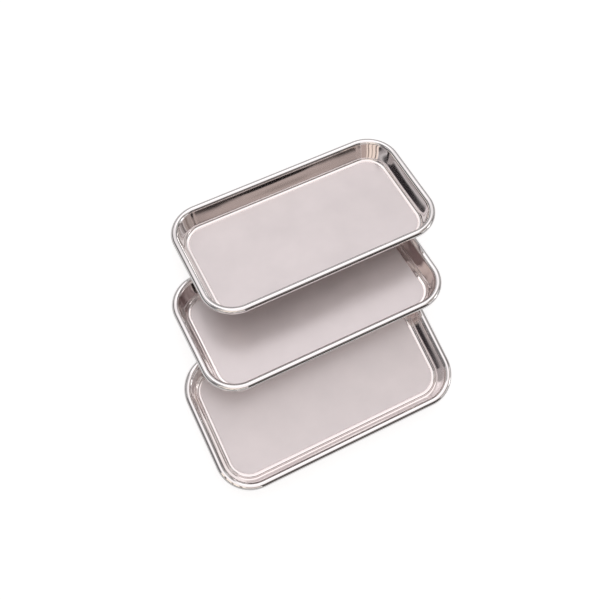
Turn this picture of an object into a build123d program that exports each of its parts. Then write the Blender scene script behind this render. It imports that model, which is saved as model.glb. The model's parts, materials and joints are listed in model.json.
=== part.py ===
from build123d import *
import math
import os

# A set of three identical pressed stainless steel trays, shingled on a table: the bottom tray
# lies flat, and the middle and top trays lean back by the same angle, each with the rear of its
# foot on the table and its base on the rim of the tray in front. +X points to the right, +Y to
# the rear and +Z up. The origin is at the centre of the set's footprint, on the table.

# tray
tray_length = 225.0
tray_width = 122.0
tray_height = 20.0
corner_radius = 31.0
sheet = 0.6
# rolled rim, open towards the wall by the angle that is left of a full turn
rim_diameter = 6.4
rim_roll = 315.0
# wall and foot
wall_draft = 15.0
foot_bend = 2.2
foot_flat = 0.8
# floor panel, pressed up inside the foot
panel_rise = 0.8
panel_step = 1.4
# arrangement
rest_gap = 0.3
lean = 20.0
middle_shift = 20.0
top_shift = 25.0

# The section is drawn as (inset, height): inset runs inwards from the outermost line of the rim.
half_sheet = sheet / 2
rim_radius = rim_diameter / 2
rim_height = tray_height - rim_radius
bend_radius = foot_bend + half_sheet
bend_height = sheet + foot_bend
draft_cos = math.cos(math.radians(wall_draft))
draft_sin = math.sin(math.radians(wall_draft))
# the wall is tangent to the rim's roll on one side and to the foot's bend on the other
wall_reach = (rim_height - bend_height) * draft_sin + rim_radius - half_sheet + bend_radius
foot_inset = rim_radius + wall_reach / draft_cos
step_inset = foot_inset + foot_flat
panel_inset = step_inset + panel_step
# the step is two equal arcs, tangent to each other at its middle
step_turn = 2 * math.atan2(panel_rise, panel_step)
step_radius = panel_step / (2 * math.sin(step_turn))
foot_half_width = tray_width / 2 - foot_inset
rim_half_width = tray_width / 2 - rim_radius


def along(centre, radius, degrees):
    """the point at an angle on a circle of the section"""
    angle = math.radians(degrees)
    return (centre[0] + radius * math.cos(angle), centre[1] + radius * math.sin(angle))


def draw_skin(side):
    """one side of the sheet, from the floor panel to the end of the roll: +1 is inside the tray"""
    shift = side * half_sheet
    turn = math.degrees(step_turn)
    panel_end = (panel_inset, panel_rise + half_sheet + shift)
    step_end = (step_inset, half_sheet + shift)
    upper_centre = (panel_inset, panel_rise + half_sheet - step_radius)
    lower_centre = (step_inset, half_sheet + step_radius)
    bend_centre = (foot_inset, bend_height)
    rim_centre = (rim_radius, rim_height)
    upper_radius = step_radius + shift
    lower_radius = step_radius - shift
    bend = bend_radius - shift
    roll = rim_radius - half_sheet + shift
    step_middle = along(upper_centre, upper_radius, 90 + turn)
    foot_start = along(bend_centre, bend, 270)
    wall_foot = along(bend_centre, bend, 180 + wall_draft)
    wall_top = along(rim_centre, roll, wall_draft)
    roll_middle = along(rim_centre, roll, (wall_draft + rim_roll) / 2)
    roll_end = along(rim_centre, roll, rim_roll)
    ThreePointArc(panel_end, along(upper_centre, upper_radius, 90 + turn / 2), step_middle)
    ThreePointArc(step_middle, along(lower_centre, lower_radius, 270 + turn / 2), step_end)
    Line(step_end, foot_start)
    ThreePointArc(foot_start, along(bend_centre, bend, 225 + wall_draft / 2), wall_foot)
    Line(wall_foot, wall_top)
    ThreePointArc(wall_top, roll_middle, roll_end)
    return panel_end, roll_end


def press_tray(plane, name):
    """one tray, with the centre of its foot's underside at the plane's origin"""
    run_x = tray_length / 2 - corner_radius
    run_y = tray_width / 2 - corner_radius
    rim_start = plane.from_local_coords((0, -tray_width / 2, 0))
    section_plane = Plane(origin=rim_start, x_dir=plane.y_dir, z_dir=plane.x_dir)
    with BuildPart() as tray:
        with BuildLine(plane) as rim_line:
            front = Line((0, -tray_width / 2), (run_x, -tray_width / 2))
            right_front = JernArc(front @ 1, (1, 0), corner_radius, 90)
            right = Line(right_front @ 1, (tray_length / 2, run_y))
            right_rear = JernArc(right @ 1, (0, 1), corner_radius, 90)
            rear = Line(right_rear @ 1, (-run_x, tray_width / 2))
            left_rear = JernArc(rear @ 1, (-1, 0), corner_radius, 90)
            left = Line(left_rear @ 1, (-tray_length / 2, -run_y))
            left_front = JernArc(left @ 1, (0, -1), corner_radius, 90)
            Line(left_front @ 1, front @ 0)
        with BuildSketch(section_plane) as section:
            with BuildLine():
                inner_panel, inner_roll = draw_skin(1)
                outer_panel, outer_roll = draw_skin(-1)
                Line(inner_panel, outer_panel)
                Line(inner_roll, outer_roll)
            make_face()
        sweep(sections=section.sketch, path=rim_line.wires()[0])
        with BuildSketch(plane.offset(panel_rise)):
            panel_size = (tray_length - 2 * panel_inset, tray_width - 2 * panel_inset)
            RectangleRounded(*panel_size, corner_radius - panel_inset)
        extrude(amount=sheet)
    tray.part.label = name
    return tray.part


def rear_rim(centre_y, centre_z, angle):
    """the middle of the roll of a tray's rear rim, as (y, z)"""
    angle_cos = math.cos(math.radians(angle))
    angle_sin = math.sin(math.radians(angle))
    y = centre_y + rim_half_width * angle_cos + rim_height * angle_sin
    z = centre_z - rim_half_width * angle_sin + rim_height * angle_cos
    return y, z


def lean_on(rim_y, rim_z, angle):
    """the centre of a tray that stands on its rear foot and leans on the rim in front of it"""
    angle_cos = math.cos(math.radians(angle))
    angle_sin = math.sin(math.radians(angle))
    centre_z = bend_height * (1 - angle_cos) + foot_half_width * angle_sin
    clearance = rim_radius + rest_gap
    centre_y = rim_y + (clearance + angle_cos * (rim_z - centre_z)) / angle_sin
    return centre_y, centre_z


middle_y, middle_z = lean_on(*rear_rim(0, 0, 0), lean)
top_y, top_z = lean_on(*rear_rim(middle_y, middle_z, lean), lean)
rearmost = rear_rim(top_y, top_z, lean)[0] + rim_radius
origin_x = (middle_shift + top_shift) / 2
origin_y = (rearmost - tray_width / 2) / 2

# name: x, y and z of the foot's centre, from the bottom tray's own, and the angle of lean
places = {
    "bottom_tray": (0, 0, 0, 0),
    "middle_tray": (middle_shift, middle_y, middle_z, lean),
    "top_tray": (middle_shift + top_shift, top_y, top_z, lean),
}

os.makedirs("parts", exist_ok=True)
for name, (x, y, z, angle) in places.items():
    normal = (0, math.sin(math.radians(angle)), math.cos(math.radians(angle)))
    place = Plane(origin=(x - origin_x, y - origin_y, z), x_dir=(1, 0, 0), z_dir=normal)
    export_step(press_tray(place, name), f"parts/{name}.step")
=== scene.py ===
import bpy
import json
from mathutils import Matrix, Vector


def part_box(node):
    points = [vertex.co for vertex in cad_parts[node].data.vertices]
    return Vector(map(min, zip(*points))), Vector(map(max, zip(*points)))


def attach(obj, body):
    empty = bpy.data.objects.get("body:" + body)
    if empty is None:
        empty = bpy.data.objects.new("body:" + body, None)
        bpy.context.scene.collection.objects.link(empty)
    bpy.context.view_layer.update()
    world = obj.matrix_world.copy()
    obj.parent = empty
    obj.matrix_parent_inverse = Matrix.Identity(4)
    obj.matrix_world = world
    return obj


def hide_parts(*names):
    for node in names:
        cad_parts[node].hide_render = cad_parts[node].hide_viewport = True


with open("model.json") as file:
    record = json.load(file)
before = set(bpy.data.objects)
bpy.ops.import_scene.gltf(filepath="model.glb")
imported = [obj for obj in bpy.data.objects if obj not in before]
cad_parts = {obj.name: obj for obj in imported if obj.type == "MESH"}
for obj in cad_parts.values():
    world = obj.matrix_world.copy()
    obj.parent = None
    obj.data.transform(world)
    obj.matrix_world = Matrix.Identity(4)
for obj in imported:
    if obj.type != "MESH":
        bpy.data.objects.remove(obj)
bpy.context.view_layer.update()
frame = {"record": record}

import json
import math

import bmesh
import bpy
import numpy as np
from mathutils import Matrix, Vector, noise

# Each tray is rebuilt as a fine closed mesh of the pressed sheet, in the place of its CAD node.
# The set's overall sizes come from the frame; these are the rest of the pressing's sizes, in metres.
corner_radius = 0.031
sheet = 0.0006
rim_diameter = 0.0064
rim_roll = math.radians(315)
wall_draft = math.radians(15)
foot_bend = 0.0022
foot_flat = 0.0008
panel_rise = 0.0008
panel_step = 0.0014

# mesh density
corner_parts = 30
long_side_parts = 44
short_side_parts = 14
step_arc_parts = 5
bend_parts = 10
wall_parts = 10
roll_parts = 34
edge_parts = 4
floor_rings = 16
ring_crowding = 1.5     # above 1, the floor's rings are closer together near its edge
same_point = 1e-7
weld_distance = 1e-6

# unevenness of the pressed sheet: the waves' height and size, and how far the walls spring outwards
floor_wave = 0.00006
floor_wave_size = 0.07
floor_wave_rise = 3     # the floor's wave is full from a third of the way in
wall_wave = 0.00012
wall_wave_size = 0.014
wall_bow = 0.00016
side_bow = 0.00018      # added at the middle of each side
seed_step = Vector((17.3, 5.1, 2.7))

# satin steel: a cloud of tone and roughness, and near a mirror where it is seen at a low angle
cloud_scale = 28
cloud_detail = 4
cloud_span = (0.3, 0.7)
cloud_tones = ((0.83, 0.785, 0.792), (0.90, 0.851, 0.858))
cloud_roughness = (0.33, 0.39)
slant_span = (0.20, 0.34)   # of Layer Weight's Facing, from square on to a low angle
slant_roughness = 0.25      # how much of the roughness is left at a low angle

# polished steel: fine grain in its roughness
grain_scale = 220
grain_detail = 3
grain_spread = 0.3

# the table is a white ground to the eye, and a pale grey one in the steel
table_size = 6
table_grey = 0.4
table_roughness = 0.8
table_glow_reflected = 0.3
table_glow_seen = 0.78

# light has to bounce many times between the trays before it comes out
light_bounces = 24


# ---------------------------------------------------------------- places of the trays

low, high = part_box("bottom_tray")
tray_length, tray_width, tray_height = high - low
floor_height = panel_rise + sheet
mounts = {mount["name"]: mount for mount in frame["record"]["mounts"]}


def tray_places():
    """each tray's foot centre and its normal"""
    bottom_centre = Vector(((low.x + high.x) / 2, (low.y + high.y) / 2, low.z))
    top_floor = mounts["top_tray_floor"]
    normal = Vector(top_floor["axis"]).normalized()
    top_centre = Vector(top_floor["pos_m"]) - floor_height * normal
    middle_centre = top_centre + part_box("middle_tray")[0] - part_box("top_tray")[0]
    return {
        "bottom_tray": (bottom_centre, Vector((0, 0, 1))),
        "middle_tray": (middle_centre, normal),
        "top_tray": (top_centre, normal),
    }


# ---------------------------------------------------------------- the pressed sheet's section

half_sheet = sheet / 2
rim_radius = rim_diameter / 2
rim_height = tray_height - rim_radius
bend_radius = foot_bend + half_sheet
bend_height = sheet + foot_bend
wall_rise = rim_height - bend_height
wall_reach = wall_rise * math.sin(wall_draft) + rim_radius - half_sheet + bend_radius
foot_inset = rim_radius + wall_reach / math.cos(wall_draft)
step_inset = foot_inset + foot_flat
panel_inset = step_inset + panel_step
step_turn = 2 * math.atan2(panel_rise, panel_step)
step_radius = panel_step / (2 * math.sin(step_turn))

FLOOR, INSIDE, RIM, OUTSIDE = range(4)


def arc(centre, radius, start, end, parts):
    """points round a centre from one angle to another"""
    x, y = centre
    angles = np.linspace(start, end, parts + 1)
    return [(x + radius * math.cos(a), y + radius * math.sin(a)) for a in angles]


def straight(start, end, parts):
    """points between two ends, closer together near each end, so that shading stays true there"""
    (x, y), (end_x, end_y) = start, end
    shares = [(1 - math.cos(math.pi * k / parts)) / 2 for k in range(parts + 1)]
    return [(x + share * (end_x - x), y + share * (end_y - y)) for share in shares]


def skin(side):
    """one side of the sheet from the floor panel to the end of the roll, as (inset, height, finish)"""
    shift = side * half_sheet
    quarter = math.pi / 2
    upper = arc((panel_inset, panel_rise + half_sheet - step_radius), step_radius + shift,
                quarter, quarter + step_turn, step_arc_parts)
    lower = arc((step_inset, half_sheet + step_radius), step_radius - shift,
                3 * quarter + step_turn, 3 * quarter, step_arc_parts)
    bend = arc((foot_inset, bend_height), bend_radius - shift,
               3 * quarter, math.pi + wall_draft, bend_parts)
    roll = arc((rim_radius, rim_height), rim_radius - half_sheet + shift,
               wall_draft, rim_roll, roll_parts)
    wall = straight(bend[-1], roll[0], wall_parts)
    floor_face, wall_face = (FLOOR, INSIDE) if side > 0 else (OUTSIDE, OUTSIDE)
    runs = [(upper, floor_face), (lower, wall_face), (bend, wall_face), (wall, wall_face), (roll, RIM)]
    points = []
    for run, finish in runs:
        for point in run:
            if not points or math.dist(points[-1][:2], point) > same_point:
                points.append((*point, finish))
    return points


def sheet_section():
    """the closed run round the sheet: inner skin out to the roll's edge, and outer skin back"""
    inner, outer = skin(1), skin(-1)
    middle = [(inner[-1][i] + outer[-1][i]) / 2 for i in (0, 1)]
    start = math.atan2(inner[-1][1] - middle[1], inner[-1][0] - middle[0])
    edge = arc(middle, half_sheet, start, start + math.pi, edge_parts)[1:-1]
    return inner + [(*point, RIM) for point in edge] + outer[::-1]


# ---------------------------------------------------------------- rings round the tray

def outline(half_x, half_y, radius):
    """a closed rounded rectangle with the same number of points whatever its size"""
    points = []
    run_x, run_y = half_x - radius, half_y - radius
    sides = [((-run_x, -half_y), (run_x, -half_y), long_side_parts),
             ((half_x, -run_y), (half_x, run_y), short_side_parts),
             ((run_x, half_y), (-run_x, half_y), long_side_parts),
             ((-half_x, run_y), (-half_x, -run_y), short_side_parts)]
    centres = [(run_x, -run_y), (run_x, run_y), (-run_x, run_y), (-run_x, -run_y)]
    for k, ((start, end, parts), centre) in enumerate(zip(sides, centres)):
        points += straight(start, end, parts)[:-1]
        points += arc(centre, radius, (k - 1) * math.pi / 2, k * math.pi / 2, corner_parts)[:-1]
    return points


def inset_outline(inset):
    return outline(tray_length / 2 - inset, tray_width / 2 - inset, corner_radius - inset)


def floor_outline(share):
    """a ring of the floor panel: its edge at share 0, the panel's middle line at share 1"""
    half_x, half_y = tray_length / 2 - panel_inset, tray_width / 2 - panel_inset
    corner = corner_radius - panel_inset
    return outline(half_x - share * half_y, (1 - share) * half_y, (1 - share) * corner)


def bump(share):
    """0 at 0 and 1, and 1 at the middle, with no slope at the ends"""
    return math.sin(math.pi * min(max(share, 0), 1)) ** 2


def spring(share):
    """0 at 0 and 1, and 1 at two thirds, with no slope at 0"""
    share = min(max(share, 0), 1)
    return 27 / 4 * share ** 2 * (1 - share)


def mid_side(x, y):
    """1 at the middle of each side, falling to 0 at the corners"""
    run_x, run_y = tray_length / 2 - corner_radius, tray_width / 2 - corner_radius
    share = abs(y) / run_y if abs(x) > run_x else abs(x) / run_x
    return math.cos(math.pi / 2 * min(share, 1)) ** 2


def press(name, seed):
    """the mesh of one tray in its own frame, with the centre of its foot's underside at the origin"""
    offset = seed * seed_step

    def floor_lift(x, y, share):
        wave = noise.noise(Vector((x, y, 0)) / floor_wave_size + offset)
        return floor_wave * wave * math.sin(math.pi / 2 * min(share * floor_wave_rise, 1)) ** 2

    def wall_push(x, y, height):
        share = (height - bend_height) / wall_rise
        wave = wall_wave * bump(share) * noise.noise(Vector((x, y, 0)) / wall_wave_size + offset)
        return wave + spring(share) * (wall_bow + side_bow * mid_side(x, y))

    section = sheet_section()
    rows = []
    finishes = []
    shares = [((k + 1) / floor_rings) ** ring_crowding for k in range(floor_rings)]
    for share in shares[::-1]:
        rows.append([(x, y, floor_height + floor_lift(x, y, share)) for x, y in floor_outline(share)])
        finishes.append(FLOOR)
    for k, (inset, height, finish) in enumerate(section):
        ring = []
        rolled = RIM in (finish, section[k - 1][2])
        for x, y in inset_outline(inset):
            push = 0 if rolled else wall_push(x, y, height)
            reach = math.hypot(x, y)
            ring.append((x * (1 + push / reach), y * (1 + push / reach), height))
        rows.append(ring)
        finishes.append(finish)
    for share in shares:
        rows.append([(x, y, panel_rise + floor_lift(x, y, share)) for x, y in floor_outline(share)])
        finishes.append(OUTSIDE)

    count = len(rows[0])
    vertices = [point for row in rows for point in row]
    faces = []
    slots = []
    for row, finish in enumerate(finishes[:-1]):
        near, far = row * count, (row + 1) * count
        for k in range(count):
            after = (k + 1) % count
            faces.append((near + k, far + k, far + after, near + after))
            slots.append(finish)
    mesh = bpy.data.meshes.new(name)
    mesh.from_pydata(vertices, [], faces)
    mesh.polygons.foreach_set("material_index", slots)
    mesh.polygons.foreach_set("use_smooth", [True] * len(faces))
    return mesh


def weld(mesh):
    """joins the points that meet on the floor's middle line, and turns the faces outwards"""
    edit = bmesh.new()
    edit.from_mesh(mesh)
    bmesh.ops.remove_doubles(edit, verts=edit.verts, dist=weld_distance)
    bmesh.ops.recalc_face_normals(edit, faces=edit.faces)
    edit.to_mesh(mesh)
    edit.free()


# ---------------------------------------------------------------- materials

def node_tree(name):
    material = bpy.data.materials.new(name)
    material.use_nodes = True
    nodes, links = material.node_tree.nodes, material.node_tree.links
    return material, nodes, links, nodes["Principled BSDF"]


def noise_texture(nodes, links, scale, detail):
    place = nodes.new("ShaderNodeTexCoord")
    texture = nodes.new("ShaderNodeTexNoise")
    texture.inputs["Scale"].default_value = scale
    texture.inputs["Detail"].default_value = detail
    links.new(place.outputs["Object"], texture.inputs["Vector"])
    return texture.outputs["Fac"]


def remap(nodes, links, value, before, after, smooth=False):
    """the value moved from one span to another"""
    node = nodes.new("ShaderNodeMapRange")
    if smooth:
        node.interpolation_type = "SMOOTHSTEP"
    node.inputs["From Min"].default_value, node.inputs["From Max"].default_value = before
    node.inputs["To Min"].default_value, node.inputs["To Max"].default_value = after
    links.new(value, node.inputs["Value"])
    return node.outputs["Result"]


def satin_steel(name, metal, mirror_share):
    """fine satin with a cloudy tone. Seen square on it is metallic by the share metal, and at a low
    angle it comes near to a mirror, wholly where mirror_share is 1 and not at all where it is 0"""
    material, nodes, links, shader = node_tree(name)
    cloud = noise_texture(nodes, links, cloud_scale, cloud_detail)
    tone = nodes.new("ShaderNodeValToRGB")
    for stop, position, colour in zip(tone.color_ramp.elements, cloud_span, cloud_tones):
        stop.position = position
        stop.color = (*colour, 1)
    links.new(cloud, tone.inputs["Fac"])
    links.new(tone.outputs["Color"], shader.inputs["Base Color"])
    facing = nodes.new("ShaderNodeLayerWeight").outputs["Facing"]

    def by_angle(square, slanting):
        end = square + mirror_share * (slanting - square)
        return remap(nodes, links, facing, slant_span, (square, end), smooth=True)

    links.new(by_angle(metal, 1.0), shader.inputs["Metallic"])
    rough = nodes.new("ShaderNodeMath")
    rough.operation = "MULTIPLY"
    links.new(remap(nodes, links, cloud, cloud_span, cloud_roughness), rough.inputs[0])
    links.new(by_angle(1.0, slant_roughness), rough.inputs[1])
    links.new(rough.outputs["Value"], shader.inputs["Roughness"])
    return material


def polished_steel(name, roughness, colour):
    """bright steel with a fine grain in its roughness"""
    material, nodes, links, shader = node_tree(name)
    shader.inputs["Metallic"].default_value = 1.0
    shader.inputs["Base Color"].default_value = (*colour, 1)
    grain = noise_texture(nodes, links, grain_scale, grain_detail)
    spread = (roughness * (1 - grain_spread), roughness * (1 + grain_spread))
    links.new(remap(nodes, links, grain, (0, 1), spread), shader.inputs["Roughness"])
    return material


# ---------------------------------------------------------------- trays

# in the order of FLOOR, INSIDE, RIM and OUTSIDE
finishes = [
    satin_steel("floor_steel", metal=0.45, mirror_share=1.0),
    polished_steel("wall_steel", roughness=0.06, colour=(0.92, 0.89, 0.88)),
    polished_steel("rim_steel", roughness=0.05, colour=(0.90, 0.89, 0.89)),
    satin_steel("outside_steel", metal=0.75, mirror_share=0.1),
]
for seed, (name, (centre, normal)) in enumerate(tray_places().items()):
    mesh = press(name + "_pressing", seed)
    weld(mesh)
    along = Vector((1, 0, 0))
    turn = Matrix((along, normal.cross(along), normal)).transposed().to_4x4()
    mesh.transform(Matrix.Translation(centre) @ turn)
    for finish in finishes:
        mesh.materials.append(finish)
    piece = bpy.data.objects.new(name + "_pressing", mesh)
    bpy.context.scene.collection.objects.link(piece)
    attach(piece, name)
    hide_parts(name)


# ---------------------------------------------------------------- table, light and camera

def table():
    bpy.ops.mesh.primitive_plane_add(size=table_size)
    top = bpy.context.object
    top.name = "table"
    material, nodes, links, shader = node_tree("table_white")
    shader.inputs["Base Color"].default_value = (table_grey, table_grey, table_grey, 1)
    shader.inputs["Roughness"].default_value = table_roughness
    shader.inputs["Emission Color"].default_value = (1, 1, 1, 1)
    seen = nodes.new("ShaderNodeLightPath").outputs["Is Camera Ray"]
    glow = remap(nodes, links, seen, (0, 1), (table_glow_reflected, table_glow_seen))
    links.new(glow, shader.inputs["Emission Strength"])
    top.data.materials.append(material)


# The studio round the table, as panels of the sky: colour, then the spans of azimuth and elevation
# in degrees, and the softness of the edges. Azimuth 0 is the rear and 90 the right. Later panels lie
# over earlier ones. The pale panels light the floors, and the dark ones show in the polished walls.
sky_base = (0.10, 0.095, 0.095)
sky_panels = [
    ((1.50, 1.48, 1.47), (-200, 200), (17, 64), 8),
    ((3.50, 3.45, 3.42), (113, 123), (12, 28), 4),
    ((0.52, 0.43, 0.39), (-180, -150), (24, 62), 6),
    ((0.40, 0.355, 0.33), (98, 148), (26, 62), 12),
    ((0.02, 0.018, 0.017), (145, 182), (0, 66), 4),
    ((0.30, 0.245, 0.22), (145, 182), (36, 66), 6),
    ((0.26, 0.215, 0.195), (163, 182), (34, 46), 8),
    ((0.20, 0.165, 0.15), (151, 154), (34, 44), 4),
    ((0.50, 0.43, 0.40), (142, 182), (37, 66), 5),
    ((0.012, 0.010, 0.010), (142, 182), (45, 68), 2),
    ((0.012, 0.010, 0.010), (165, 182), (43, 68), 3),
    ((0.012, 0.010, 0.010), (145, 156), (41, 68), 3),
    ((0.78, 0.741, 0.745), (-32, 56), (14, 100), 8),
    ((1.38, 1.311, 1.319), (-32, 56), (38, 66), 22),
    ((0.39, 0.365, 0.355), (56, 98), (12, 62), 8),
    ((0.62, 0.60, 0.59), (68, 78), (12, 62), 6),
    ((0.20, 0.18, 0.175), (88, 97), (12, 62), 6),
    ((0.25, 0.21, 0.19), (114, 123), (28, 62), 6),
    ((0.42, 0.40, 0.40), (-100, -30), (19, 62), 6),
    ((0.025, 0.022, 0.025), (-100, -24), (-2, 18), 5),
    ((0.95, 0.91, 0.90), (-100, -30), (27, 31), 3),
    ((0.03, 0.027, 0.03), (-100, -74), (26, 41), 5),
    ((1.04, 0.91, 0.80), (-152, -100), (20, 62), 5),
    ((0.30, 0.245, 0.22), (-146, -141), (20, 62), 4),
    ((0.44, 0.37, 0.33), (-129, -125), (20, 62), 3),
    ((0.20, 0.17, 0.16), (-113, -108), (20, 62), 3),
    ((1.08, 1.026, 1.032), (-200, 200), (64, 100), 6),
]


def surroundings():
    """the sky with its panels, which shows in the steel; straight to the eye it is white"""
    world = bpy.data.worlds.new("studio")
    world.use_nodes = True
    bpy.context.scene.world = world
    nodes, links = world.node_tree.nodes, world.node_tree.links

    def compute(kind, *values):
        node = nodes.new("ShaderNodeMath")
        node.operation = kind
        for socket, value in zip(node.inputs, values):
            links.new(value, socket)
        return node.outputs["Value"]

    def within(angle, span, soft):
        """1 inside the span and 0 outside it, with soft ends"""
        ends = []
        for sign, end in zip((1, -1), span):
            edge = (end - sign * soft / 2, end + sign * soft / 2)
            ends.append(remap(nodes, links, angle, edge, (0, 1), smooth=True))
        return compute("MULTIPLY", *ends)

    place = nodes.new("ShaderNodeTexCoord")
    split = nodes.new("ShaderNodeSeparateXYZ")
    links.new(place.outputs["Generated"], split.inputs["Vector"])
    azimuth = compute("DEGREES", compute("ARCTAN2", split.outputs["X"], split.outputs["Y"]))
    elevation = compute("DEGREES", compute("ARCSINE", split.outputs["Z"]))

    def layer(under, over, share):
        mix = nodes.new("ShaderNodeMix")
        mix.data_type = "RGBA"
        # a Mix node has its A, B and Result once for each kind of data, and these are the colours
        for socket, value in ((mix.inputs[6], under), (mix.inputs[7], over)):
            if isinstance(value, tuple):
                socket.default_value = (*value, 1)
            else:
                links.new(value, socket)
        links.new(share, mix.inputs["Factor"])
        return mix.outputs[2]

    colour = sky_base
    for panel, across, up, soft in sky_panels:
        share = compute("MULTIPLY", within(azimuth, across, soft), within(elevation, up, soft))
        colour = layer(colour, panel, share)
    seen = nodes.new("ShaderNodeLightPath")
    colour = layer(colour, (1.0, 1.0, 1.0), seen.outputs["Is Camera Ray"])
    links.new(colour, nodes["Background"].inputs["Color"])


# the camera turns about its aim: left of the front, high above, and rolled. Angles are in radians,
# distances in metres, and the lens is given by its focal length in pixels of the 600 pixel picture
view_left = math.radians(53.74)
view_up = math.radians(75.0)
view_roll = math.radians(28.96)
view_distance = 0.7561
view_aim = Vector((-0.0075, 0.0078, 0.0148))
focal_pixels = 850
image_pixels = 600
sensor_width = 36


def camera():
    data = bpy.data.cameras.new("camera")
    data.sensor_width = sensor_width
    data.lens = sensor_width * focal_pixels / image_pixels
    eye = bpy.data.objects.new("camera", data)
    bpy.context.scene.collection.objects.link(eye)
    level = math.cos(view_up)
    forward = Vector((math.sin(view_left) * level, math.cos(view_left) * level, -math.sin(view_up)))
    right = Vector((math.cos(view_left), -math.sin(view_left), 0))
    up = right.cross(forward)
    turn = Matrix((right, up, -forward)).transposed() @ Matrix.Rotation(view_roll, 3, "Z")
    eye.matrix_world = Matrix.Translation(view_aim - view_distance * forward) @ turn.to_4x4()
    bpy.context.scene.camera = eye


table()
surroundings()
camera()
bpy.context.scene.view_settings.view_transform = "Standard"
bpy.context.scene.cycles.max_bounces = light_bounces
bpy.context.scene.cycles.glossy_bounces = light_bounces
